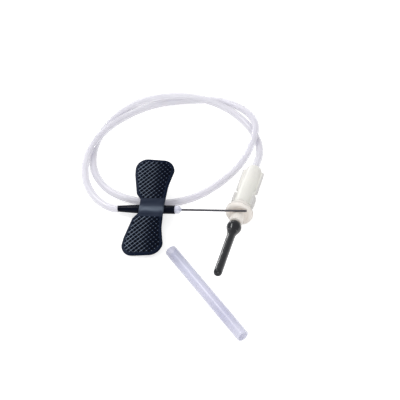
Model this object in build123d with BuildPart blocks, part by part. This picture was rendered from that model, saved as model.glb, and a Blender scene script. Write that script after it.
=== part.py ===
from build123d import *
from math import asin, cos, degrees, radians, sin, sqrt, tan
import os

# A winged infusion needle as it lies on a bench, cover off, upside down on its wings.
# Millimetres. +X runs along the needle toward its point, +Y away from the viewer, +Z up, bench at z = 0.
# The origin is under the middle of the needle, its hub, the winged sleeve and the cover taken together.

os.makedirs("parts", exist_ok=True)

# Tubing
tube_od = 2.5
tube_bore = 1.5
tube_r = tube_od / 2
hump_clear = 3.0

# Steel needle, 22 gauge
cannula_od = 0.7
cannula_bore = 0.45
cannula_r = cannula_od / 2
bevel_length = 2.9
lancet_share = 0.45
lancet_turn = 38.0
lancet_extra = 5.0

# Stations along the needle's axis, from the middle of the wings
tip_s = 31.2
stem_back_s = -1.5
stub_front_s = 7.5
dome_front_s = 9.1
cone_front_s = 11.1
tail_full_s = -5.5
shoulder_s = -9.4
nose_s = -11.8

# Winged sleeve, one moulding
sleeve_d = 2.9
stub_d = 2.85
shoulder_d = 2.55
nose_back_d = 2.1
nose_d = 1.9
nose_round = 0.35
spigot_length = 1.8
flow_bore = 1.1
plate_t = 1.1
plate_low = 1.07
edge_round = 0.35
arch_half = 3.1
arch_rise = 0.55
wing_roll = 12.48

# Wing plate outline, X toward the needle's point, Y across, each corner with its rounding
neck_front = 4.15
neck_back = -4.15
neck_front_end = 3.0
front_waist = (4.4, 8.2)
front_bulge = (5.78, 14.5)
front_tip = (4.03, 18.1)
back_tip = (-8.17, 18.98)
back_bulge = (-7.57, 12.3)
step_out = (-5.84, 4.78)
neck_back_end = 2.6
neck_front_round = 12.0
front_waist_round = 14.7
front_bulge_round = 3.2
front_tip_round = 4.3
back_tip_round = 3.8
back_bulge_round = 3.6
step_round = 1.15
neck_back_round = 1.0

# Texture of the wings, square pits between crossing ridges
pit_pitch = 1.3
pit_side = 0.8
pit_depth = 0.28
field_border = 1.35
field_from = 4.9

# Clear needle hub
stem_d = 1.9
dome_d = 2.6
cone_tip_d = 0.95

# Luer connector (female) on the tubing's far end; stations from its tube end, along its own axis
socket_depth = 3.0
barrel_back_d = 5.1
barrel_front_d = 5.9
barrel_round = 0.7
rib_reach = 3.65
rib_t = 1.5
rib_from = 0.9
rib_to = 12.0
lug_from = 14.3
lug_reach = 3.9
lug_half_angle = 34.0
mouth_t = 16.6
mouth_bore = 4.3
luer_slope = 0.03
luer_depth = 7.4
male_depth = 7.0
connector_flow = 1.6

# Luer adapter (male) with its disc, boss and nipple
neck_d = 5.2
neck_gap = 0.4
disc_d = 9.28
disc_back_t = 21.0
disc_front_t = 23.3
disc_round = 0.75
boss_d = 4.5
boss_front_t = 26.4
nipple_d = 2.0
nipple_front_t = 28.4
adapter_flow = 2.0
adapter_flow_to = 17.6

# Needle at the holder end and the rubber sleeve over it
holder_od = 0.8
holder_bore = 0.5
holder_back_t = adapter_flow_to
holder_tip_t = 49.9
holder_bevel = 2.4
rubber_tip_t = 51.7
rubber_d = 2.7
rubber_bore = 1.3
bulb_d = 4.9
bulb_t = 28.6
bulb_blend_t = 33.0
bulb_back_r = 1.75

# Needle cover
cover_fit = 0.05
cover_bore = stub_d + 2 * cover_fit
cover_od = 3.85
cover_length = 41.2
cover_round = 0.2

# Where things lie
hub_x = -11.95
hub_y = 14.77
needle_tilt = 7.74
rest_clear = 0.05
connector_end = (18.63, 38.77, 3.4)
disc_x = 16.33
disc_y = 16.42
cover_a = (-3.2, -0.83)
cover_angle = -48.36


def place(origin, direction, up=(0, 0, 1)):
    """A sketch plane whose X runs along the axis and whose Y is its radius."""
    x_dir = Vector(*direction).normalized()
    side = Vector(*up).cross(x_dir).normalized()
    return Plane(origin=origin, x_dir=x_dir, z_dir=x_dir.cross(side))


# The connector's axis: its disc stands on the bench, its tube end is held up by the tubing
disc_mid_t = (disc_back_t + disc_front_t) / 2
rim_half = (disc_front_t - disc_back_t) / 2 - disc_round
end_point = Vector(*connector_end)
rise = (disc_d / 2 - end_point.Z) / disc_mid_t
connector_tilt = asin(rise)
disc_z = disc_d / 2 * cos(connector_tilt) + rim_half * sin(connector_tilt)
disc_point = Vector(disc_x, disc_y, disc_z)
along = (disc_point - end_point).normalized()


def station(t):
    """A point on the connector's axis."""
    return end_point + along * t


# The needle lies over the boss in front of the disc, which sets its height
tilt = radians(needle_tilt)
u = Vector(cos(tilt), 0, sin(tilt))
n = u.cross(along).normalized()
t_cross = (end_point.Y - hub_y) / -along.Y
x_cross = station(t_cross).X
z_cross = station(t_cross).Z + (boss_d / 2 + cannula_r + rest_clear) / abs(n.Z)
hub_z = z_cross - (x_cross - hub_x) * tan(tilt)
hub = Vector(hub_x, hub_y, hub_z)
needle_plane = Plane(origin=hub, x_dir=u, z_dir=Vector(-sin(tilt), 0, cos(tilt)))
wing_plane = needle_plane.rotated((wing_roll, 0, 0))
needle_axis = Axis(origin=hub, direction=u)
connector_plane = place(end_point, along)
connector_axis = Axis(origin=end_point, direction=along)

# Steel needle: a tube with its point ground from below, then two side facets
with BuildPart() as cannula:
    with BuildSketch(Plane(needle_plane.from_local_coords(Vector(stem_back_s, 0, 0)), z_dir=u)):
        Circle(cannula_r)
        Circle(cannula_bore / 2, mode=Mode.SUBTRACT)
    extrude(amount=tip_s - stem_back_s)
    with BuildSketch(needle_plane.rotated((90, 0, 0))):
        with BuildLine():
            Polyline(
                (tip_s - bevel_length, -cannula_r),
                (tip_s, cannula_r),
                (tip_s + 1, cannula_r),
                (tip_s + 1, -1),
                (tip_s - bevel_length, -1),
                close=True,
            )
        make_face()
    extrude(amount=1, both=True, mode=Mode.SUBTRACT)
    for turn in (lancet_turn, -lancet_turn):
        with BuildSketch(needle_plane.rotated((90 + turn, 0, 0))):
            with BuildLine():
                Polyline(
                    (tip_s - bevel_length * lancet_share, -cannula_r * 0.3),
                    (tip_s, cannula_r * cos(radians(turn)) - 0.02),
                    (tip_s + 1, cannula_r * cos(radians(turn)) - 0.02),
                    (tip_s + 1, -1),
                    (tip_s - bevel_length * lancet_share, -1),
                    close=True,
                )
            make_face()
        extrude(amount=1, both=True, mode=Mode.SUBTRACT)
cannula.part.label = "cannula"
export_step(cannula.part, "parts/cannula.step")

# Clear hub: a stem inside the sleeve, a dome in front of it and a cone of adhesive round the needle
with BuildPart() as needle_hub:
    with BuildSketch(needle_plane):
        with BuildLine():
            stem_line = Polyline(
                (stem_back_s, cannula_r),
                (stem_back_s, stem_d / 2),
                (stub_front_s, stem_d / 2),
                (stub_front_s, dome_d / 2),
                (dome_front_s - 0.6, dome_d / 2),
            )
            dome_line = RadiusArc(stem_line @ 1, (dome_front_s, dome_d / 2 - 0.45), 0.75)
            cone_line = Spline(
                dome_line @ 1,
                (dome_front_s + 0.75, 0.62),
                (cone_front_s, cone_tip_d / 2),
            )
            Polyline(cone_line @ 1, (cone_front_s, cannula_r), (stem_back_s, cannula_r))
        make_face()
    revolve(axis=needle_axis)
needle_hub.part.label = "needle_hub"
export_step(needle_hub.part, "parts/needle_hub.step")

# Winged sleeve: the plate, its arch over the middle, the round body below it, the bores and the pits
spigot_s = nose_s - spigot_length
corner_list = [
    ((neck_front, neck_front_end), neck_front_round),
    (front_waist, front_waist_round),
    (front_bulge, front_bulge_round),
    (front_tip, front_tip_round),
    (back_tip, back_tip_round),
    (back_bulge, back_bulge_round),
    (step_out, step_round),
    ((neck_back, neck_back_end), neck_back_round),
]
half = [point for point, size in corner_list]
outline_points = half + [(x, -y) for x, y in reversed(half)]


def on_field(face, x, y):
    """True where a pit's middle is past the field's start and a border's width inside the plate's outline."""
    middle = Vector(x, y, 0)
    return y > field_from and face.is_inside(middle) and face.outer_wire().distance_to(middle) > field_border


with BuildPart() as winged_sleeve:
    with BuildSketch(wing_plane.offset(plate_low)) as outline:
        with BuildLine():
            Polyline(*outline_points, close=True)
        make_face()
        for (cx, cy), size in corner_list:
            for sign in (1, -1):
                fillet(outline.vertices().sort_by_distance(Vector(cx, sign * cy, 0))[0], radius=size)
    extrude(amount=plate_t)
    plate_face = outline.sketch_local.faces()[0]
    pit_places = []
    reach = range(-18, 19)
    for i in reach:
        for j in reach:
            px = (i - j) * pit_pitch / sqrt(2)
            py = (i + j + 0.5) * pit_pitch / sqrt(2)
            if on_field(plate_face, px, py):
                pit_places.append((px, py))
    top_and_bottom = winged_sleeve.faces().sort_by(Axis((0, 0, 0), wing_plane.z_dir))
    fillet(top_and_bottom[0].edges() + top_and_bottom[-1].edges(), radius=edge_round)
    top_h = plate_low + plate_t
    arch_r = (arch_half**2 + arch_rise**2) / (2 * arch_rise)
    arch_plane = Plane(origin=wing_plane.origin, x_dir=wing_plane.y_dir, z_dir=wing_plane.x_dir)
    with BuildSketch(arch_plane.offset(neck_back + 0.05)):
        with BuildLine():
            arch_line = ThreePointArc((-arch_half, top_h), (0, top_h + arch_rise), (arch_half, top_h))
            Polyline(arch_line @ 1, (arch_half, top_h - 0.3), (-arch_half, top_h - 0.3), arch_line @ 0)
        make_face()
    extrude(amount=neck_front - neck_back - 0.1)
    with BuildSketch(needle_plane):
        with BuildLine():
            Polyline(
                (spigot_s, 0),
                (spigot_s, tube_bore / 2),
                (nose_s, tube_bore / 2),
                (nose_s, nose_d / 2 - nose_round / 2),
                (nose_s + nose_round, nose_d / 2),
                (shoulder_s, nose_back_d / 2),
                (shoulder_s, shoulder_d / 2),
                (tail_full_s, sleeve_d / 2),
                (neck_front, sleeve_d / 2),
                (neck_front + 0.1, stub_d / 2),
                (stub_front_s, stub_d / 2),
                (stub_front_s, 0),
                close=True,
            )
        make_face()
    revolve(axis=needle_axis)
    with BuildSketch(needle_plane):
        with BuildLine():
            Polyline(
                (spigot_s - 1, 0),
                (spigot_s - 1, flow_bore / 2),
                (stem_back_s, flow_bore / 2),
                (stem_back_s, stem_d / 2),
                (stub_front_s + 1, stem_d / 2),
                (stub_front_s + 1, 0),
                close=True,
            )
        make_face()
    revolve(axis=needle_axis, mode=Mode.SUBTRACT)
    with BuildSketch(wing_plane.offset(top_h + 0.1)):
        for place_x, place_y in pit_places:
            with Locations((place_x, place_y), (place_x, -place_y)):
                Rectangle(pit_side, pit_side, rotation=45)
    extrude(amount=-pit_depth - 0.1, mode=Mode.SUBTRACT)
winged_sleeve.part.label = "winged_sleeve"
export_step(winged_sleeve.part, "parts/winged_sleeve.step")

# Tubing: from the sleeve's nose, over the spigot, round the loop twice, into the connector's socket
low = tube_r
high = 3 * tube_r + hump_clear
tube_start = hub + u * nose_s
tube_bend = hub + u * (nose_s - 5.0)
tube_stop = station(socket_depth)
tube_turn = station(-4.2)
route = [
    (tube_start.X, tube_start.Y, tube_start.Z),
    (tube_bend.X, tube_bend.Y, tube_bend.Z),
    (-34.9, 20.47, low),
    (-39.0, 28.77, 2.4),
    (-40.1, 37.77, high),
    (-36.9, 48.97, high),
    (-32.1, 58.27, 2.2),
    (-25.0, 66.97, low),
    (-15.7, 72.17, low),
    (-5.2, 74.77, low),
    (3.3, 74.07, 2.4),
    (11.1, 69.67, high),
    (16.7, 60.27, high),
    (15.9, 50.67, 2.4),
    (12.6, 41.47, low),
    (8.3, 32.67, low),
    (1.0, 24.87, low),
    (-8.7, 20.37, low),
    (-19.5, 19.27, low),
    (-29.0, 23.27, low),
    (-35.7, 31.47, low),
    (-38.7, 41.97, low),
    (-37.4, 52.67, low),
    (-33.0, 62.87, low),
    (-26.3, 70.87, 2.4),
    (-17.0, 74.27, high),
    (-5.6, 72.37, high),
    (4.3, 70.07, 2.4),
    (12.5, 64.87, low),
    (17.7, 57.47, low),
    (19.7, 50.07, 2.2),
    (tube_turn.X, tube_turn.Y, tube_turn.Z),
    (tube_stop.X, tube_stop.Y, tube_stop.Z),
]
points = [Vector(*p) for p in route]
runs = [(b - a).length for a, b in zip(points[:-1], points[1:])]
shares = [0.45 * run for run in runs]
before_bend = [runs[0] - spigot_length - 0.1] + shares[1:]
radii = []
for a, b, c, run_in, run_out in zip(points[:-2], points[1:-1], points[2:], before_bend, shares[1:]):
    half_turn = radians((b - a).get_angle(c - b)) / 2
    radii.append(min(run_in, run_out) / tan(half_turn))
print("runs", [round(v, 1) for v in runs])
print("radii", [round(v, 1) for v in radii])

with BuildPart() as tubing:
    with BuildLine() as tube_path:
        FilletPolyline(*points, radius=radii)
    with BuildSketch(Plane(tube_path.line @ 0, z_dir=tube_path.line % 0)):
        Circle(tube_r)
        Circle(tube_bore / 2, mode=Mode.SUBTRACT)
    sweep(path=tube_path.wires()[0])
print("tube length", round(tube_path.wires()[0].length, 1))
tubing.part.label = "tubing"
export_step(tubing.part, "parts/tubing.step")

# Luer connector: a barrel with two ribs, two ears at its mouth, a socket for the tubing and a luer taper
taper_end_t = mouth_t - luer_depth
taper_end_r = mouth_bore / 2 - luer_slope * luer_depth
with BuildPart() as luer_connector:
    with BuildSketch(connector_plane) as barrel_profile:
        with BuildLine():
            Polyline(
                (0, 0),
                (0, barrel_back_d / 2),
                (mouth_t - 4, barrel_front_d / 2),
                (mouth_t, barrel_front_d / 2),
                (mouth_t, 0),
                close=True,
            )
        make_face()
        fillet(barrel_profile.vertices().sort_by_distance(Vector(0, barrel_back_d / 2, 0))[0], radius=barrel_round)
    revolve(axis=connector_axis)
    with BuildSketch(connector_plane) as rib_profile:
        with BuildLine():
            Polyline(
                (rib_from, -rib_reach),
                (rib_to, -rib_reach),
                (rib_to, rib_reach),
                (rib_from, rib_reach),
                close=True,
            )
        make_face()
        fillet(rib_profile.vertices(), radius=0.8)
    extrude(amount=rib_t / 2, both=True)
    with BuildSketch(Plane(station(lug_from), x_dir=connector_plane.y_dir, z_dir=along)):
        Circle(lug_reach)
        with BuildLine():
            cut_x = lug_reach * 1.5 * sin(radians(lug_half_angle))
            cut_y = lug_reach * 1.5 * cos(radians(lug_half_angle))
            Polyline((0, 0), (cut_y, cut_x), (cut_y, 2 * lug_reach), (-cut_y, 2 * lug_reach), (-cut_y, cut_x), close=True)
        make_face(mode=Mode.SUBTRACT)
        with BuildLine():
            Polyline((0, 0), (cut_y, -cut_x), (cut_y, -2 * lug_reach), (-cut_y, -2 * lug_reach), (-cut_y, -cut_x), close=True)
        make_face(mode=Mode.SUBTRACT)
    extrude(amount=mouth_t - lug_from)
    with BuildSketch(connector_plane):
        with BuildLine():
            Polyline(
                (-1, 0),
                (-1, tube_r),
                (socket_depth, tube_r),
                (socket_depth, connector_flow / 2),
                (taper_end_t, connector_flow / 2),
                (taper_end_t, taper_end_r),
                (mouth_t, mouth_bore / 2),
                (mouth_t + 1, mouth_bore / 2),
                (mouth_t + 1, 0),
                close=True,
            )
        make_face()
    revolve(axis=connector_axis, mode=Mode.SUBTRACT)
luer_connector.part.label = "luer_connector"
export_step(luer_connector.part, "parts/luer_connector.step")

# Luer adapter: the male taper seated in the mouth, the neck, the disc, the boss and the nipple
male_tip_t = mouth_t - male_depth
male_tip_r = mouth_bore / 2 - luer_slope * male_depth
with BuildPart() as luer_adapter:
    with BuildSketch(connector_plane) as adapter_profile:
        with BuildLine():
            Polyline(
                (male_tip_t, adapter_flow / 2),
                (male_tip_t, male_tip_r),
                (mouth_t, mouth_bore / 2),
                (mouth_t + neck_gap, mouth_bore / 2),
                (mouth_t + neck_gap, neck_d / 2),
                (disc_back_t, neck_d / 2),
                (disc_back_t, disc_d / 2),
                (disc_front_t, disc_d / 2),
                (disc_front_t, boss_d / 2),
                (boss_front_t, boss_d / 2),
                (boss_front_t, nipple_d / 2),
                (nipple_front_t, nipple_d / 2),
                (nipple_front_t, holder_od / 2),
                (adapter_flow_to, holder_od / 2),
                (adapter_flow_to, adapter_flow / 2),
                close=True,
            )
        make_face()
        for rim_t in (disc_back_t, disc_front_t):
            fillet(adapter_profile.vertices().sort_by_distance(Vector(rim_t, disc_d / 2, 0))[0], radius=disc_round)
        fillet(adapter_profile.vertices().sort_by_distance(Vector(boss_front_t, boss_d / 2, 0))[0], radius=0.3)
    revolve(axis=connector_axis)
luer_adapter.part.label = "luer_adapter"
export_step(luer_adapter.part, "parts/luer_adapter.step")

# Needle at the holder end, ground from above
with BuildPart() as holder_needle:
    with BuildSketch(Plane(station(holder_back_t), z_dir=along)):
        Circle(holder_od / 2)
        Circle(holder_bore / 2, mode=Mode.SUBTRACT)
    extrude(amount=holder_tip_t - holder_back_t)
    with BuildSketch(connector_plane):
        with BuildLine():
            Polyline(
                (holder_tip_t - holder_bevel, holder_od / 2),
                (holder_tip_t, -holder_od / 2),
                (holder_tip_t + 1, -holder_od / 2),
                (holder_tip_t + 1, 1),
                (holder_tip_t - holder_bevel, 1),
                close=True,
            )
        make_face()
    extrude(amount=1, both=True, mode=Mode.SUBTRACT)
holder_needle.part.label = "holder_needle"
export_step(holder_needle.part, "parts/holder_needle.step")

# Rubber sleeve: a bulb over the nipple, a long shaft with a round closed end
rubber_r = rubber_d / 2
with BuildPart() as rubber_sleeve:
    with BuildSketch(connector_plane):
        with BuildLine():
            bulb_line = Spline(
                (boss_front_t, bulb_back_r),
                (bulb_t, bulb_d / 2),
                (bulb_t + 1.9, bulb_d / 2 - 0.5),
                (bulb_blend_t, rubber_r),
                tangents=((0.75, 1), (1, -0.05)),
            )
            shaft_line = Line(bulb_line @ 1, (rubber_tip_t - rubber_r, rubber_r))
            tip_line = ThreePointArc(
                shaft_line @ 1,
                (rubber_tip_t - rubber_r * (1 - sin(radians(45))), rubber_r * cos(radians(45))),
                (rubber_tip_t, 0),
            )
            Polyline(
                tip_line @ 1,
                (holder_tip_t + 0.3, 0),
                (holder_tip_t + 0.3, rubber_bore / 2),
                (nipple_front_t, rubber_bore / 2),
                (nipple_front_t, nipple_d / 2),
                (boss_front_t, nipple_d / 2),
                (boss_front_t, bulb_back_r),
            )
        make_face()
    revolve(axis=connector_axis)
rubber_sleeve.part.label = "rubber_sleeve"
export_step(rubber_sleeve.part, "parts/rubber_sleeve.step")

# Needle cover: a length of plain tube lying on the bench
cover_dir = Vector(cos(radians(cover_angle)), sin(radians(cover_angle)), 0)
cover_start = Vector(cover_a[0], cover_a[1], cover_od / 2)
cover_plane = place(cover_start, cover_dir)
with BuildPart() as needle_cover:
    with BuildSketch(cover_plane) as cover_profile:
        with BuildLine():
            Polyline(
                (0, cover_bore / 2),
                (0, cover_od / 2),
                (cover_length, cover_od / 2),
                (cover_length, cover_bore / 2),
                close=True,
            )
        make_face()
        fillet(cover_profile.vertices().sort_by(Axis.Y)[-2:], radius=cover_round)
    revolve(axis=Axis(origin=cover_start, direction=cover_dir))
needle_cover.part.label = "needle_cover"
export_step(needle_cover.part, "parts/needle_cover.step")

rest = [cannula.part, needle_hub.part, winged_sleeve.part, needle_cover.part]
box = Compound(children=[Compound(p.solids()) for p in rest]).bounding_box()
print("rest box", box.min, box.max, "middle", box.center())
print("lowest of the wings", round(winged_sleeve.part.bounding_box().min.Z, 3))
print("hub", hub, "pits", 2 * len(pit_places), "connector tilt", round(degrees(connector_tilt), 2))
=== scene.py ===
# %% Frame and CAD box
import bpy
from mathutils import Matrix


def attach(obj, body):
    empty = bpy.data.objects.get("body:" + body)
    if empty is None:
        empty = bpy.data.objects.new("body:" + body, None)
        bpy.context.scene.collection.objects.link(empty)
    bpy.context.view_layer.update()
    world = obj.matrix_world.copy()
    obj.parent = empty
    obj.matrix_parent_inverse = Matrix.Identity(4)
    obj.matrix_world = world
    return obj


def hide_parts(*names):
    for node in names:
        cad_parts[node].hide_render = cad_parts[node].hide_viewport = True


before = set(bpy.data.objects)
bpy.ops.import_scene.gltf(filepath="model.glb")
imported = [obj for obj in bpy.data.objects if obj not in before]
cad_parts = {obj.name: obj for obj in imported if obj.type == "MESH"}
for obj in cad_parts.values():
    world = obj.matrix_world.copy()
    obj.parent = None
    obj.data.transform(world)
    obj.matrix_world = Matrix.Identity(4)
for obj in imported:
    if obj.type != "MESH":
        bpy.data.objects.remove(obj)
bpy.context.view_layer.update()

# %% [markdown]
# The set lies on a bench, needle cover off: black wings upside down over their sleeve, a fine steel needle
# resting across the adapter, a loop of clear tubing, an off-white luer connector and adapter with a dark
# rubber sleeve on the rear needle, and the clear cover beside them. All lengths below are in millimetres
# and are turned into Blender's metres where a mesh is filled.

# %% Tools
import math
import bpy
import numpy as np
from mathutils import Vector

MM = 0.001


def unit(v):
    """The vector divided by its length."""
    v = np.asarray(v, float)
    return v / np.linalg.norm(v)


def smooth_step(x, a, b):
    """0 before a, 1 after b, and 3s^2 - 2s^3 between them, where s is the way from a to b."""
    s = np.clip((np.asarray(x, float) - a) / (b - a), 0, 1)
    return s * s * (3 - 2 * s)


# %% [markdown]
# A mesh filled from a grid of points is the common way to make a moulded or turned form by formula. One helper
# joins each grid point to its next neighbours; another turns the shell the right way out by the sign of its
# volume, so that light always meets the outside.

# %% Grid meshes
def grid_quads(rows, cols, wrap_rows=False, wrap_cols=False):
    """Each quad joins point (i, j) to (i + 1, j), (i + 1, j + 1) and (i, j + 1), going round where it wraps."""
    row_starts = np.arange(rows if wrap_rows else rows - 1)
    col_starts = np.arange(cols if wrap_cols else cols - 1)
    i, j = np.meshgrid(row_starts, col_starts, indexing="ij")
    k, m = (i + 1) % rows, (j + 1) % cols
    return np.stack([i * cols + j, k * cols + j, k * cols + m, i * cols + m], -1).reshape(-1, 4)


def fill_mesh(name, points, quads, triangles=()):
    """A smooth-shaded object from points in millimetres. The shell's volume is a sixth of the sum of a . (b x c) over
    its triangles; where that comes out negative, every face is turned round."""
    points = np.asarray(points, float).reshape(-1, 3) * MM
    quads = np.asarray(quads).reshape(-1, 4)
    triangles = np.asarray(triangles, int).reshape(-1, 3)
    halves = np.vstack([quads[:, [0, 1, 2]], quads[:, [0, 2, 3]], triangles])
    a, b, c = (points[halves[:, k]] for k in range(3))
    if (a * np.cross(b, c)).sum() < 0:
        quads, triangles = quads[:, ::-1], triangles[:, ::-1]
    mesh = bpy.data.meshes.new(name)
    mesh.from_pydata(points.tolist(), [], quads.tolist() + triangles.tolist())
    mesh.polygons.foreach_set("use_smooth", np.ones(len(mesh.polygons), bool))
    mesh.update()
    piece = bpy.data.objects.new(name, mesh)
    bpy.context.scene.collection.objects.link(piece)
    print(name, len(quads) * 2 + len(triangles), "triangles")
    return piece


# %% [markdown]
# Turned and moulded round parts are a profile carried round an axis. Corners of a moulding are never sharp, so
# a profile is written as corners with a rounding each, and every corner becomes a small parabola.

# %% Profiles and turned pieces
def rounded(corners, steps=5):
    """A line through (along, radius, rounding) corners; each corner is the parabola between the two points that
    lie its rounding away on either side of it, and the parabola's middle control point is the corner itself."""
    corners = np.asarray(corners, float)
    out = [corners[0, :2]]
    s = np.linspace(0, 1, steps + 1)[:, None]
    for before, at, after in zip(corners[:-2], corners[1:-1], corners[2:]):
        if at[2] == 0:
            out.append(at[:2])
            continue
        p = at[:2] + unit(before[:2] - at[:2]) * at[2]
        q = at[:2] + unit(after[:2] - at[:2]) * at[2]
        out.extend((1 - s) ** 2 * p + 2 * s * (1 - s) * at[:2] + s**2 * q)
    out.append(corners[-1, :2])
    return np.array(out)


def axes_of(direction):
    """Three unit vectors: along, level across, and the one square to both."""
    along = unit(direction)
    across = unit(np.cross([0, 0, 1], along))
    return along, across, np.cross(along, across)


def turned(name, profile, origin, direction, around=64, ring=False, radius=None):
    """Point (i, k) is origin + along * t_i + r_i (across * cos a_k + up * sin a_k). A ring's profile closes on
    itself; otherwise its two ends lie on the axis and become poles. radius(t, r, a) may raise r round the axis."""
    t, r = profile[:, 0], profile[:, 1]
    a = np.arange(around) * 2 * np.pi / around
    along, across, up = axes_of(direction)
    body = slice(None) if ring else slice(1, -1)
    rr = np.repeat(r[body, None], around, 1)
    if radius is not None:
        rr = radius(t[body, None], rr, a[None])
    spread = rr[..., None] * (across * np.cos(a)[:, None] + up * np.sin(a)[:, None])
    points = np.asarray(origin) + along * t[body, None, None] + spread
    rows = points.shape[0]
    quads = grid_quads(rows, around, wrap_rows=ring, wrap_cols=True)
    if ring:
        return fill_mesh(name, points, quads)
    n = rows * around
    poles = np.asarray(origin) + along * np.array([t[0], t[-1]])[:, None]
    k = np.arange(around)
    after = (k + 1) % around
    first = np.stack([np.full(around, n), k, after], 1)
    last = np.stack([np.full(around, n + 1), n - around + after, n - around + k], 1)
    return fill_mesh(name, np.vstack([points.reshape(-1, 3), poles]), quads, np.vstack([first, last]))


# %% [markdown]
# Finishes come before the pieces. The soft clear PVC and the hard clear plastics are a little cloudy. Glass nodes
# would turn to noise at this size, so these finishes are partly transparent instead and show the wall behind.
# The off-white luer parts are milky, so light gets a short way in. The wings are a satin black moulding with a
# fine grain, steel is drawn and dark between its highlights, and the rubber is black, slick and slightly worn.
# Where a colour is tied to a place on the moulding, such as a ridge, a pit or a thin rib, the mesh carries a
# number called relief and a colour ramp reads it, so that the colour never slides. On the wings that colour holds
# painted highlights and painted shade, and on the connector and the cover painted shade.

# %% Finishes
def finish_of(name, colour, rough, **sockets):
    """A Principled finish; each keyword names a socket with its spaces written as underscores."""
    material = bpy.data.materials.new(name)
    material.use_nodes = True
    shader = material.node_tree.nodes["Principled BSDF"]
    shader.inputs["Base Color"].default_value = (*colour, 1)
    shader.inputs["Roughness"].default_value = rough
    for key, value in sockets.items():
        shader.inputs[key.replace("_", " ")].default_value = value
    return material


def grain(material, scale, distance, strength, detail=3.0):
    """Fine bumps from noise on Object coordinates; distance is the bumps' height in metres."""
    nodes, links = material.node_tree.nodes, material.node_tree.links
    where = nodes.new("ShaderNodeTexCoord")
    noise = nodes.new("ShaderNodeTexNoise")
    noise.inputs["Scale"].default_value = scale
    noise.inputs["Detail"].default_value = detail
    bump = nodes.new("ShaderNodeBump")
    bump.inputs["Distance"].default_value = distance
    bump.inputs["Strength"].default_value = strength
    links.new(where.outputs["Object"], noise.inputs["Vector"])
    links.new(noise.outputs["Fac"], bump.inputs["Height"])
    links.new(bump.outputs["Normal"], nodes["Principled BSDF"].inputs["Normal"])
    return material


def tones(material, scale, dark, light, detail=4.0):
    """The base colour drifts between two tones with noise on Object coordinates."""
    nodes, links = material.node_tree.nodes, material.node_tree.links
    where = nodes.new("ShaderNodeTexCoord")
    noise = nodes.new("ShaderNodeTexNoise")
    noise.inputs["Scale"].default_value = scale
    noise.inputs["Detail"].default_value = detail
    ramp = nodes.new("ShaderNodeValToRGB")
    ramp.color_ramp.elements[0].position = 0.35
    ramp.color_ramp.elements[1].position = 0.65
    ramp.color_ramp.elements[0].color = (*dark, 1)
    ramp.color_ramp.elements[1].color = (*light, 1)
    links.new(where.outputs["Object"], noise.inputs["Vector"])
    links.new(noise.outputs["Fac"], ramp.inputs["Fac"])
    links.new(ramp.outputs["Color"], nodes["Principled BSDF"].inputs["Base Color"])
    return material


def by_relief(material, stops):
    """The base colour follows the mesh's own relief attribute: a ramp of (relief, colour) stops."""
    nodes, links = material.node_tree.nodes, material.node_tree.links
    relief = nodes.new("ShaderNodeAttribute")
    relief.attribute_name = "relief"
    ramp = nodes.new("ShaderNodeValToRGB")
    ramp.color_ramp.elements[0].position, ramp.color_ramp.elements[1].position = stops[0][0], stops[-1][0]
    for place, colour in stops[1:-1]:
        ramp.color_ramp.elements.new(place).color = (*colour, 1)
    ramp.color_ramp.elements[0].color = (*stops[0][1], 1)
    ramp.color_ramp.elements[-1].color = (*stops[-1][1], 1)
    links.new(relief.outputs["Fac"], ramp.inputs["Fac"])
    links.new(ramp.outputs["Color"], nodes["Principled BSDF"].inputs["Base Color"])
    return material


wing_black = finish_of("satin_black_wings", (0.012, 0.018, 0.034), 0.42, Specular_IOR_Level=0.03)
# relief 0 is the painted shade of a pit, 0.4 the plain rim, and the stops above it painted highlight on the arch and
# the ridges
wing_stops = [
    (0, (0.0001, 0.0008, 0.004)),
    (0.4, (0.004, 0.008, 0.021)),
    (0.7, (0.036, 0.045, 0.069)),
    (1, (0.2, 0.24, 0.3)),
]
by_relief(grain(wing_black, 2600, 0.00001, 0.3), wing_stops)
sleeve_black = finish_of("gloss_black_sleeve", (0.001, 0.002, 0.008), 0.24, Specular_IOR_Level=0.075)
tones(grain(sleeve_black, 2600, 0.00001, 0.2), 300, (0.0005, 0.0015, 0.007), (0.001, 0.003, 0.011))
soft_clear = finish_of("soft_clear_tubing", (0.87, 0.86, 0.93), 0.18, Alpha=0.57)
tones(grain(soft_clear, 900, 0.000002, 0.1), 90, (0.835, 0.82, 0.9), (0.885, 0.875, 0.935))
hub_clear = finish_of("hard_clear_hub", (0.78, 0.8, 0.89), 0.12, Alpha=0.6)
tones(grain(hub_clear, 1500, 0.000004, 0.2), 300, (0.7, 0.715, 0.87), (0.82, 0.83, 0.95))
cover_clear = finish_of("clear_cover", (0.68, 0.68, 0.83), 0.26, Alpha=0.6)
# relief 0 is the painted shade of the far cut end
cover_stops = [
    (0, (0.32, 0.32, 0.46)),
    (0.3, (0.72, 0.73, 0.88)),
    (0.55, (0.765, 0.76, 0.9)),
    (0.8, (0.65, 0.65, 0.815)),
    (1, (0.78, 0.78, 0.9)),
]
by_relief(grain(cover_clear, 300, 0.000001, 0.1), cover_stops)
SOFT = dict(Subsurface_Weight=0.7, Subsurface_Scale=0.0025, Subsurface_Radius=(1, 1, 1))
milky = finish_of("milky_connector", (0.8, 0.785, 0.74), 0.4, **SOFT)
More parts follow.
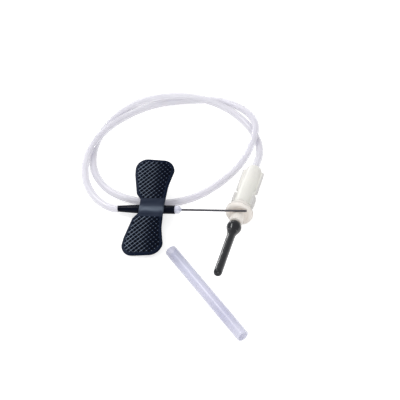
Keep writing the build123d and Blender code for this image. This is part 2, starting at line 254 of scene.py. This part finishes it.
# relief 0.5 and above is the painted shade on the ribs and ears; 0.25 is the lighter, warmer barrel
milky_stops = [
    (0, (0.74, 0.725, 0.7)),
    (0.25, (0.81, 0.8, 0.735)),
    (0.5, (0.68, 0.67, 0.65)),
    (0.9, (0.56, 0.55, 0.54)),
]
by_relief(grain(milky, 1500, 0.00001, 0.2), milky_stops)
cream = finish_of("cream_adapter", (0.8, 0.75, 0.7), 0.4, **SOFT)
tones(grain(cream, 1500, 0.00001, 0.2), 200, (0.78, 0.725, 0.675), (0.83, 0.785, 0.74))
rubber = finish_of("slick_dark_rubber", (0.006, 0.007, 0.01), 0.22, Specular_IOR_Level=0.42)
tones(grain(rubber, 1800, 0.000008, 0.3), 500, (0.004, 0.005, 0.008), (0.009, 0.01, 0.013))
steel = finish_of("drawn_steel", (0.09, 0.088, 0.1), 0.3, Metallic=1.0)
grain(steel, 4000, 0.000003, 0.3)
print("finishes", len(bpy.data.materials))


def dress(piece, material, slot, *nodes, rides="root"):
    """The piece gets its finish and the CAD nodes that it stands for; slot, its place in the table, is not used."""
    piece.data.materials.clear()
    piece.data.materials.append(material)
    if nodes:
        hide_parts(*nodes)
    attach(piece, rides)
    return piece


# %% [markdown]
# The camera looks down at 45 degrees from a little to the right, with a long lens. After it come the axes on
# which the rigid pieces lie, because the tubing starts on one of them and ends on the other.

# %% Camera
AZIMUTH, ELEVATION = math.radians(9.0826), math.radians(45.2)
CAMERA_AWAY = 0.402
look_at = Vector((2.09, 24.99, 0.0)) * MM
level_part = math.cos(ELEVATION)
forward = Vector((-math.sin(AZIMUTH) * level_part, math.cos(AZIMUTH) * level_part, -math.sin(ELEVATION)))
camera_data = bpy.data.cameras.new("camera")
camera_data.sensor_width = 36.0
camera_data.lens = 108.0
camera_data.clip_start, camera_data.clip_end = 0.01, 10.0
camera = bpy.data.objects.new("camera", camera_data)
camera.location = look_at - forward * CAMERA_AWAY
camera.rotation_mode = "QUATERNION"
camera.rotation_quaternion = forward.to_track_quat("-Z", "Y")
bpy.context.scene.collection.objects.link(camera)
bpy.context.scene.camera = camera
print("camera at", [round(v, 4) for v in camera.location])

# %% Where the needle and the connector lie
TILT = math.radians(7.74)
HUB = np.array([-11.95, 14.77, 3.608])
NEEDLE = np.array([math.cos(TILT), 0, math.sin(TILT)])
CONNECTOR = np.array([18.63, 38.77, 3.4])
ADAPTER_AXIS = unit(np.array([16.33, 16.42, 4.6552]) - CONNECTOR)
COVER = np.array([-3.2, -0.83, 1.925])
COVER_AXIS = np.array([math.cos(math.radians(-48.36)), math.sin(math.radians(-48.36)), 0.0])


def on_needle(s):
    """The point s millimetres from the middle of the wings along the needle's axis."""
    return HUB + NEEDLE * s


def on_connector(t):
    """The point t millimetres from the connector's tube end along its axis."""
    return CONNECTOR + ADAPTER_AXIS * t


print("needle rises", round(math.degrees(TILT), 2), "degrees; connector axis", ADAPTER_AXIS.round(3))

# %% [markdown]
# Tubing: 2.5 mm soft PVC, 1.5 mm bore, about 305 mm long. A real length of it lies in the curve that its own
# stiffness gives, so the line is one smooth spline through given control points. Where the two turns cross
# it climbs onto the strand below. The wall is a ring carried along that line, so that its bore shows in the light.

# %% Tubing line
route = [
    tuple(on_needle(-11.8)),
    tuple(on_needle(-15.0)),
    (-33.13, 19.14, 1.82),
    (-37.64, 26.11, 2.34),
    (-39.3, 35.18, 3.45),
    (-37.98, 44.86, 3.96),
    (-34.1, 54.53, 2.99),
    (-28.57, 63.25, 1.70),
    (-20.72, 70.05, 1.27),
    (-10.58, 73.56, 1.23),
    (0.52, 74.66, 2.02),
    (10.04, 70.86, 2.94),
    (16.36, 62.96, 3.83),
    (16.52, 52.73, 3.73),
    (13.88, 42.02, 2.54),
    (8.2, 32.53, 1.78),
    (0.83, 24.53, 1.24),
    (-8.52, 20.01, 1.26),
    (-19.48, 19.6, 1.41),
    (-29.17, 23.13, 1.22),
    (-35.8, 31.13, 1.29),
    (-38.35, 41.77, 1.23),
    (-37.38, 52.83, 1.31),
    (-32.93, 62.08, 1.99),
    (-25.65, 68.72, 3.42),
    (-16.43, 72.06, 3.93),
    (-5.68, 72.92, 3.71),
    (4.59, 70.3, 2.61),
    (12.78, 64.28, 1.47),
    (17.8, 56.39, 1.14),
    (19.37, 48.8, 1.77),
    tuple(on_connector(-4.2)),
    tuple(on_connector(3.0)),
]
curve = bpy.data.curves.new("tubing_line", "CURVE")
curve.dimensions = "3D"
spline = curve.splines.new("NURBS")
spline.points.add(len(route) - 1)
for point, place in zip(spline.points, route):
    point.co = (*(v * MM for v in place), 1)
spline.order_u = 3
spline.use_endpoint_u = True
spline.resolution_u = 24
line_object = bpy.data.objects.new("tubing_line", curve)
line_mesh = bpy.data.meshes.new_from_object(line_object)
line = np.empty(len(line_mesh.vertices) * 3)
line_mesh.vertices.foreach_get("co", line)
line = line.reshape(-1, 3) / MM
bpy.data.objects.remove(line_object)
bpy.data.curves.remove(curve)
bpy.data.meshes.remove(line_mesh)
steps = np.linalg.norm(np.diff(line, axis=0), axis=1)
line = line[np.concatenate([[True], steps > 1e-6])]


# %% Tubing wall
TUBE_R, BORE_R, TUBE_AROUND = 1.25, 0.75, 28


def carried_ring(name, path, outer_r, bore_r, around):
    """Two circles carried along a path and joined at its ends. The frame at each point is the tangent, the
    level direction square to it, and their cross product; the outer wall runs forward and the bore runs back."""
    tangent = np.gradient(path, axis=0)
    tangent /= np.linalg.norm(tangent, axis=1)[:, None]
    side = np.cross(tangent, [0, 0, 1.0])
    side /= np.linalg.norm(side, axis=1)[:, None]
    up = np.cross(side, tangent)
    a = np.arange(around) * 2 * np.pi / around
    turn = side[:, None] * np.cos(a)[None, :, None] + up[:, None] * np.sin(a)[None, :, None]
    outer = path[:, None] + turn * outer_r
    bore = (path[:, None] + turn * bore_r)[::-1]
    points = np.concatenate([outer, bore])
    return fill_mesh(name, points, grid_quads(len(points), around, wrap_rows=True, wrap_cols=True))


tubing = carried_ring("tubing_wall", line, TUBE_R, BORE_R, TUBE_AROUND)
dress(tubing, soft_clear, "clear_tubing", "tubing")

# %% [markdown]
# Winged sleeve: one satin black moulding. A wing plate is easiest as a patch stretched between four edge curves,
# then pushed up or down by formulas: a rounded rim from the distance to the outline, the low arch over the
# middle, and the grip texture, which is rows of small square pits between crossing diagonal ridges. The pits are
# real dents in the mesh, so that the texture still holds in a low light or in a printed copy.

# %% Wing outline
def arc_corners(corners, steps=10):
    """A line through (x, y, radius) corners; each corner is a true arc that touches both of its runs. The arc's
    middle lies on the line that halves the corner, radius / sin(half the corner's angle) from it."""
    corners = np.asarray(corners, float)
    out = [corners[0, :2]]
    for before, at, after in zip(corners[:-2], corners[1:-1], corners[2:]):
        p, q = unit(before[:2] - at[:2]), unit(after[:2] - at[:2])
        half = 0.5 * math.acos(np.clip(p @ q, -1, 1))
        middle = at[:2] + unit(p + q) * at[2] / math.sin(half)
        run = at[2] / math.tan(half)
        first, last = at[:2] + p * run - middle, at[:2] + q * run - middle
        turn = np.pi - 2 * half
        share = np.linspace(0, 1, steps + 1)[:, None]
        out.extend(middle + (np.sin((1 - share) * turn) * first + np.sin(share * turn) * last) / math.sin(turn))
    out.append(corners[-1, :2])
    return np.array(out)


half_outline = arc_corners(
    [
        (4.15, 0.0, 0),
        (4.15, 3.0, 12.0),
        (4.4, 8.2, 14.7),
        (5.78, 14.5, 3.2),
        (4.03, 18.1, 4.3),
        (-8.17, 18.98, 3.8),
        (-7.57, 12.3, 3.6),
        (-5.84, 4.78, 1.15),
        (-4.15, 2.6, 1.0),
        (-4.15, 0.0, 0),
    ]
)


def spaced(curve_points, ways):
    """Points at the given shares of a line's length."""
    run = np.concatenate([[0], np.cumsum(np.linalg.norm(np.diff(curve_points, axis=0), axis=1))])
    at = np.asarray(ways) * run[-1]
    return np.stack([np.interp(at, run, curve_points[:, k]) for k in range(2)], -1)


def denser_ends(n, edge):
    """Shares from 0 to 1, even in the middle, with extra ones close to both ends."""
    close = np.array([0, 0.006, 0.022, 0.05, 0.09, 0.14, 0.2, 0.3, 0.42, 0.56, 0.75]) * edge
    return np.concatenate([close, np.linspace(edge, 1 - edge, n), (1 - close)[::-1]])


def split_at(points, target):
    """The index of the line's point nearest to a target."""
    return int(((points - np.asarray(target)) ** 2).sum(1).argmin())


front_corner = split_at(half_outline, (4.2, 17.0))
back_corner = split_at(half_outline, (-6.9, 17.6))
across = denser_ends(92, 0.06)
near_tip = np.array([0.04, 0.031, 0.023, 0.016, 0.01, 0.0055, 0.002, 0])
outward = np.concatenate([np.linspace(0, 0.95, 132), 1 - near_tip])
front = spaced(half_outline[: front_corner + 1], outward)
back = spaced(half_outline[back_corner:][::-1], outward)
end = spaced(half_outline[front_corner : back_corner + 1], across)
neck = np.stack([4.15 - 8.3 * across, 0 * across], -1)
# the patch at (u, v) is the blend of its two sides plus the blend of its two ends, less the blend of its corners
u, v = across[None, :, None], outward[:, None, None]
patch = (1 - u) * front[:, None] + u * back[:, None] + (1 - v) * neck[None] + v * end[None]
patch -= (1 - u) * (1 - v) * neck[0] + u * (1 - v) * neck[-1] + (1 - u) * v * end[0] + u * v * end[-1]
plan = np.concatenate([(patch * [1, -1])[:0:-1], patch])
print("wing patch", plan.shape)

# %% Wing plate
PLATE_LOW, PLATE_T = 1.07, 1.1
RIM_WIDE = 0.4
ARCH_HIGH, ARCH_HALF = 0.55, 3.2
PITCH, PIT_DEEP = 1.2, 0.3
FIELD_FAR, FIELD_NEAR = 2.8, 4.0
PLAIN = 0.4
edge_line = spaced(half_outline, np.linspace(0, 1, 500))
edge_line = np.concatenate([edge_line, edge_line * [1, -1]])
flat = plan.reshape(-1, 2)
to_edge = np.min(np.linalg.norm(flat[:, None] - edge_line[None], axis=2), axis=1).reshape(plan.shape[:2])
# a quarter circle up from the outline
rim = np.sqrt(1 - (1 - np.clip(to_edge / RIM_WIDE, 0, 1)) ** 2)
X, Y = plan[..., 0], plan[..., 1]
arch = ARCH_HIGH * np.clip(1 - (Y / ARCH_HALF) ** 2, 0, None) ** 0.9
# p and q count the pits along the two diagonals; a ridge stands halfway between two whole numbers
p, q = (X + Y) / math.sqrt(2) / PITCH, (X - Y) / math.sqrt(2) / PITCH
rise = smooth_step(np.abs(q - np.round(q)), 0.28, 0.45)
fall = smooth_step(np.abs(p - np.round(p)), 0.3, 0.46)
into_field = np.where(Y > 0, Y - FIELD_FAR, -Y - FIELD_NEAR)
field = smooth_step(to_edge, 0.8, 1.05) * smooth_step(into_field, 0.0, 0.3)
ridge = np.maximum(rise, 0.85 * fall)
pits = field * (1 - ridge)
top = PLATE_LOW + PLATE_T / 2 + (PLATE_T / 2 + arch) * rim - PIT_DEEP * pits
low = PLATE_LOW + PLATE_T / 2 - PLATE_T / 2 * rim
ROLL = math.radians(12.48)
level = np.array([0, 1.0, 0])
lift = np.cross(NEEDLE, level)
wing_y = level * math.cos(ROLL) + lift * math.sin(ROLL)
wing_z = lift * math.cos(ROLL) - level * math.sin(ROLL)


def wing_point(x, y, z):
    """A point of the wings' own axes in the frame."""
    return HUB + x[..., None] * NEEDLE + y[..., None] * wing_y + z[..., None] * wing_z


rows, cols = plan.shape[:2]
upper = wing_point(X, Y, top).reshape(-1, 3)
under = wing_point(X, Y, low).reshape(-1, 3)
upper_quads = grid_quads(rows, cols)
inner = np.zeros((rows, cols), bool)
inner[1:-1, 1:-1] = True
index = np.arange(rows * cols).reshape(rows, cols)
under_index = index.copy()
under_index[inner] = rows * cols + np.arange(inner.sum())
under_quads = under_index.reshape(-1)[upper_quads][:, ::-1]
both_sides = np.vstack([upper, under[inner.reshape(-1)]])
wings = fill_mesh("wing_plate", both_sides, np.vstack([upper_quads, under_quads]))

# %% [markdown]
# The relief of the wings: the plain rim has one tone; the back edge and the arch carry a painted highlight, strongest
# along the middle of the arch, and the arch has faint real scratches. The top of a ridge carries a painted highlight
# and a pit painted shade. Toward the front a ridge's painted highlight fades between its crossings, which leaves rows
# of lit dots there.

# %% Wing relief
arch_highlight = smooth_step(-np.abs(Y + 1.3), -2.1, -0.2)
scratches = np.sin(31 * Y + 0.8 * np.sin(0.9 * X)) * np.sin(17 * Y - 0.5 * X + 2)
on_arch = smooth_step(-np.abs(Y + 0.6), -3.9, -3.1)
# painted highlight toward the back edge and on the arch, strongest along its middle; the scratches on the arch are
# real
base = PLAIN + 0.12 * smooth_step(-X, 3.4, 6.4) + on_arch * (0.14 + 0.27 * arch_highlight + 0.045 * scratches)
# painted highlight on the tops of the ridges, fading toward the front except where two ridges cross, and painted
# shade in the pits
crossed = ridge * (1 - 0.45 * smooth_step(X, -2.5, 4.5) * (1 - rise * fall))
ridge_highlight = 1.2 * (crossed - 0.5) * smooth_step(crossed, 0.5, 0.95)
relief = base + field * np.where(crossed > 0.5, ridge_highlight, 0.8 * (crossed - 0.5))
relief = np.concatenate([relief.reshape(-1), np.full(inner.sum(), PLAIN)])
wings.data.attributes.new("relief", "FLOAT", "POINT").data.foreach_set("value", relief)
dress(wings, wing_black, "black_wings", "winged_sleeve")
print("wing relief", round(float(relief.min()), 2), "to", round(float(relief.max()), 2))

# %% [markdown]
# The round sleeve under the plate is a simple turned form: a blunt nose that the tubing meets,
# a gently tapering tail, the full round under the wings and the front stub that holds the clear hub.

# %% Round sleeve
sleeve_profile = rounded(
    [
        (-11.8, 0.55, 0),
        (-11.8, 1.04, 0.3),
        (-5.5, 1.44, 0.8),
        (4.1, 1.45, 0.2),
        (4.5, 1.425, 0.2),
        (7.5, 1.425, 0.15),
        (7.5, 0.95, 0),
        (-1.5, 0.95, 0),
        (-1.5, 0.55, 0),
        (-11.8, 0.55, 0),
    ]
)[:-1]
sleeve = turned("round_sleeve", sleeve_profile, HUB, NEEDLE, 72, ring=True)
dress(sleeve, sleeve_black, "black_wings", "winged_sleeve")

# %% [markdown]
# Clear hub: moulded hard plastic in front of the sleeve, ending in a cone of clear adhesive round the needle.

# %% Clear hub
hub_profile = rounded(
    [
        (-1.5, 0.36, 0),
        (-1.5, 0.94, 0.1),
        (7.5, 0.94, 0),
        (7.5, 1.3, 0.12),
        (9.0, 1.3, 0.45),
        (9.35, 0.58, 0.2),
        (9.75, 0.42, 0.1),
        (9.75, 0.36, 0),
        (-1.5, 0.36, 0),
    ]
)[:-1]
hub = turned("clear_hub", hub_profile, HUB, NEEDLE, 56, ring=True)
dress(hub, hub_clear, "clear_hub", "needle_hub")

# %% [markdown]
# Luer connector: a milky barrel with a rib down each side for the fingers and two ears at its mouth. The ribs and
# ears are the same turned surface with its radius raised round the axis, which gives the soft inside corners
# that a moulding has.


# %% Luer connector
def plateau(x, a, b, soft):
    """1 between a and b with soft ends inside them."""
    return smooth_step(x, a, a + soft) * (1 - smooth_step(x, b - soft, b))


RIB_R, RIB_HALF = 3.65, 0.75
EAR_R, MOUTH = 3.9, 19.0


def ribbed(t, r, a):
    """Twelfth-power mean of the round wall, a flat bar for the ribs and the ears:
    r = (r^12 + bar^12 + ear^12)^(1/12). Only the outer wall is raised, and never past the ears' radius."""
    outside = r > 2.3
    flat_side = RIB_HALF / np.maximum(np.abs(np.sin(a)), 1e-3)
    bar = np.minimum(RIB_R, flat_side) * plateau(t, 0.7, 12.2, 0.9)
    ear_top = EAR_R - 0.25 * smooth_step(t, 16.5, MOUTH)
    ear = ear_top * plateau(t, 14.2, 19.02, 0.35) * smooth_step(np.abs(np.cos(a)), 0.8, 0.86)
    raised = (r**12 + bar**12 + ear**12) ** (1 / 12)
    return np.where(outside, np.minimum(raised, EAR_R), r)


stations = np.linspace(0.8, 18.6, 100)
barrel = np.stack([stations, np.interp(stations, [0, 12.6, MOUTH], [2.55, 2.95, 2.95])], 1)
connector_profile = np.vstack(
    [
        rounded([(3.0, 0.8, 0), (3.0, 1.25, 0), (0.0, 1.25, 0.15), (0.0, 2.55, 0.7), (0.8, 2.57, 0)]),
        barrel[1:],
        rounded([(18.7, 2.95, 0), (MOUTH, 2.95, 0.15), (MOUTH, 2.17, 0.1), (9.2, 1.93, 0), (9.2, 0.8, 0)]),
    ]
)
connector = turned("milky_barrel", connector_profile, CONNECTOR, ADAPTER_AXIS, 144, ring=True, radius=ribbed)

# %% [markdown]
# The barrel turns lighter and warmer along its length, from 5 to 11 mm past the tube end, and its thin ribs and ears
# carry painted shade, darker the further they stand from the axis, so the relief rises along the barrel and with the
# distance from its axis.


# %% Connector relief
def spots_from(piece, origin):
    """The piece's mesh points in millimetres from an origin."""
    flat_points = np.empty(len(piece.data.vertices) * 3)
    piece.data.vertices.foreach_get("co", flat_points)
    return flat_points.reshape(-1, 3) / MM - origin


spots = spots_from(connector, CONNECTOR)
along_barrel = spots @ ADAPTER_AXIS
off_axis = np.linalg.norm(spots - along_barrel[:, None] * ADAPTER_AXIS, axis=1)
mottle = 0.03 * np.sin(3 * spots[:, 0] + 2 * np.sin(2.3 * spots[:, 2])) * np.sin(2.7 * along_barrel)
# painted shade on the ribs and ears beyond the barrel's round wall, and the barrel lighter and warmer from 5 to 11 mm
relief = 0.1 + 0.15 * smooth_step(along_barrel, 5, 11) + mottle + 0.7 * smooth_step(off_axis, 2.96, 3.4)
connector.data.attributes.new("relief", "FLOAT", "POINT").data.foreach_set("value", relief)
dress(connector, milky, "off_white", "luer_connector")
print("connector reaches", round(float(off_axis.max()), 2), "mm from its axis")

# %% [markdown]
# Luer adapter: a male taper seated in the mouth, a neck, a thick disc with a rounded rim, and the boss and nipple
# that carry the rubber sleeve.

# %% Luer adapter
adapter_profile = rounded(
    [
        (9.6, 1.0, 0),
        (9.6, 1.94, 0.1),
        (16.6, 2.12, 0),
        (19.15, 2.14, 0),
        (19.15, 2.95, 0.12),
        (21.1, 2.95, 0.9),
        (21.1, 4.64, 1.1),
        (23.4, 4.64, 1.25),
        (23.2, 2.25, 0.5),
        (27.2, 2.2, 0.5),
        (27.2, 1.0, 0.0),
        (28.4, 1.0, 0.1),
        (28.4, 0.4, 0),
        (17.6, 0.4, 0),
        (17.6, 1.0, 0),
        (9.6, 1.0, 0),
    ]
)[:-1]
adapter = turned("cream_adapter", adapter_profile, CONNECTOR, ADAPTER_AXIS, 96, ring=True)
dress(adapter, cream, "cream", "luer_adapter")

# %% [markdown]
# Rubber sleeve: dipped rubber, a bulb that grips the nipple and a long finger closed by a round end.

# %% Rubber sleeve
BULB_AT, BULB_R, FINGER_R = 29.45, 2.42, 1.35
finger = np.linspace(0, 1, 60)
ball = np.linspace(0.46, 1.95, 16)
ball_part = np.stack([BULB_AT - BULB_R * np.cos(ball), BULB_R * np.sin(ball)], 1)
shoulder = rounded([(30.35, 2.25, 0), (31.2, 1.95, 0.6), (32.6, 1.4, 1.1), (34.0, FINGER_R, 0)])
bulb_part = np.vstack([ball_part, shoulder[1:]])
# the finger's radius wavers by two hundredths of a millimetre, as dipped rubber does
shaft_part = np.stack([34.2 + 16.1 * finger, FINGER_R + 0.02 * np.sin(finger * 9) * finger], 1)
tip_angle = np.linspace(0, np.pi / 2, 12)[1:]
tip_part = np.stack([50.35 + 1.33 * np.sin(tip_angle), FINGER_R * np.cos(tip_angle)], 1)
inside_part = np.array([(50.2, 0.0), (50.2, 0.65), (28.5, 0.65), (28.45, 1.02), (27.4, 1.02)])
sleeve_line = np.vstack([bulb_part, shaft_part, tip_part[:-1]])
outer_skin = np.vstack([[(27.25, 1.02)], sleeve_line, [(51.68, 0.0)]])
closed_line = np.vstack([inside_part, outer_skin])
rubber_sleeve = turned("rubber_finger", closed_line, CONNECTOR, ADAPTER_AXIS, 64)
dress(rubber_sleeve, rubber, "dark_rubber", "rubber_sleeve")

# %% [markdown]
# Needle cover: a length of plain clear tube with slightly softened ends. The far cut end is painted darker as
# shade, the wall changes its tone slowly toward the near end, and the near end is a little lighter.

# %% Needle cover
COVER_LONG, COVER_R, COVER_BORE = 41.2, 1.925, 1.475
cover_profile = rounded(
    [
        (20.0, COVER_BORE, 0),
        (0.0, COVER_BORE, 0.12),
        (0.0, COVER_R, 0.24),
        (COVER_LONG, COVER_R, 0.24),
        (COVER_LONG, COVER_BORE, 0.12),
        (20.0, COVER_BORE, 0),
    ]
)[:-1]
cover = turned("clear_cover", cover_profile, COVER, COVER_AXIS, 64, ring=True)
along_cover = spots_from(cover, COVER) @ COVER_AXIS
# painted shade at the far cut end, then a slow change of tone along the wall and a lighter near end
far_end, near_end = smooth_step(along_cover, -0.4, 1.4), smooth_step(along_cover, 39.6, 40.6)
relief = 0.3 * far_end + 0.5 * along_cover / COVER_LONG + 0.2 * near_end
cover.data.attributes.new("relief", "FLOAT", "POINT").data.foreach_set("value", relief)
dress(cover, cover_clear, "clear_cover", "needle_cover")

# %% [markdown]
# The two steel needles keep their CAD solids, ground points included, with a drawn steel finish.

# %% Steel needles
for node in ("cannula", "holder_needle"):
    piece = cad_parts[node]
    piece.data.materials.clear()
    piece.data.materials.append(steel)

# %% [markdown]
# A pale floor and soft light: a key lamp high on the left, a wide one low in front, two small ones behind on the
# left that draw the streaks along the rubber and the black sleeve, and an even sky. The floor adds a little of its
# own light for rays that look straight at it, so that it reads white while the pieces still throw soft shadows.

# %% Floor
FLOOR_HALF, FLOOR_Z, FLOOR_GLOW = 3, -0.00005, 0.56
floor_mesh = bpy.data.meshes.new("floor")
corners = [(x * FLOOR_HALF, y * FLOOR_HALF, FLOOR_Z) for x, y in ((-1, -1), (1, -1), (1, 1), (-1, 1))]
floor_mesh.from_pydata(corners, [], [(0, 1, 2, 3)])
floor = bpy.data.objects.new("floor", floor_mesh)
bpy.context.scene.collection.objects.link(floor)
floor_white = bpy.data.materials.new("white_floor")
floor_white.use_nodes = True
nodes, links = floor_white.node_tree.nodes, floor_white.node_tree.links
nodes.clear()
out = nodes.new("ShaderNodeOutputMaterial")
matte = nodes.new("ShaderNodeBsdfDiffuse")
matte.inputs["Color"].default_value = (0.8, 0.8, 0.8, 1)
glow = nodes.new("ShaderNodeEmission")
glow.inputs["Color"].default_value = (1, 1, 1, 1)
ray = nodes.new("ShaderNodeLightPath")
seen_or_mirrored = nodes.new("ShaderNodeMath")
seen_or_mirrored.operation = "MAXIMUM"
any_direct = nodes.new("ShaderNodeMath")
any_direct.operation = "MAXIMUM"
glow_level = nodes.new("ShaderNodeMath")
glow_level.operation = "MULTIPLY"
glow_level.inputs[1].default_value = FLOOR_GLOW
both = nodes.new("ShaderNodeAddShader")
links.new(ray.outputs["Is Camera Ray"], seen_or_mirrored.inputs[0])
links.new(ray.outputs["Is Glossy Ray"], seen_or_mirrored.inputs[1])
links.new(seen_or_mirrored.outputs[0], any_direct.inputs[0])
links.new(ray.outputs["Is Transmission Ray"], any_direct.inputs[1])
links.new(any_direct.outputs[0], glow_level.inputs[0])
links.new(glow_level.outputs[0], glow.inputs["Strength"])
links.new(matte.outputs[0], both.inputs[0])
links.new(glow.outputs[0], both.inputs[1])
links.new(both.outputs[0], out.inputs["Surface"])
floor_mesh.materials.append(floor_white)
print("floor", 2 * FLOOR_HALF, "m wide, glow", FLOOR_GLOW)


# %% Light
def soft_lamp(name, place, power, size):
    """A square area lamp that faces the middle of the set."""
    data = bpy.data.lights.new(name, "AREA")
    data.shape, data.size, data.energy = "SQUARE", size, power
    lamp = bpy.data.objects.new(name, data)
    lamp.location = place
    lamp.rotation_mode = "QUATERNION"
    lamp.rotation_quaternion = (look_at - Vector(place)).to_track_quat("-Z", "Y")
    bpy.context.scene.collection.objects.link(lamp)
    return lamp


soft_lamp("key_left", (-0.4, 0.15, 0.62), 1.7, 0.2)
soft_lamp("fill_front", (0.15, -0.6, 0.35), 1.3, 0.4)
soft_lamp("strip_back_left", (-0.445, 0.605, 0.105), 0.72, 0.105)
soft_lamp("soft_back", (-0.21, 0.65, 0.34), 0.25, 0.12)
SKY = 0.72
world = bpy.data.worlds.new("sky")
bpy.context.scene.world = world
world.use_nodes = True
world.node_tree.nodes["Background"].inputs["Color"].default_value = (1, 1, 1, 1)
world.node_tree.nodes["Background"].inputs["Strength"].default_value = SKY
bpy.context.scene.view_settings.view_transform = "Standard"
print("lamps", len(bpy.data.lights), "and a sky of", SKY)
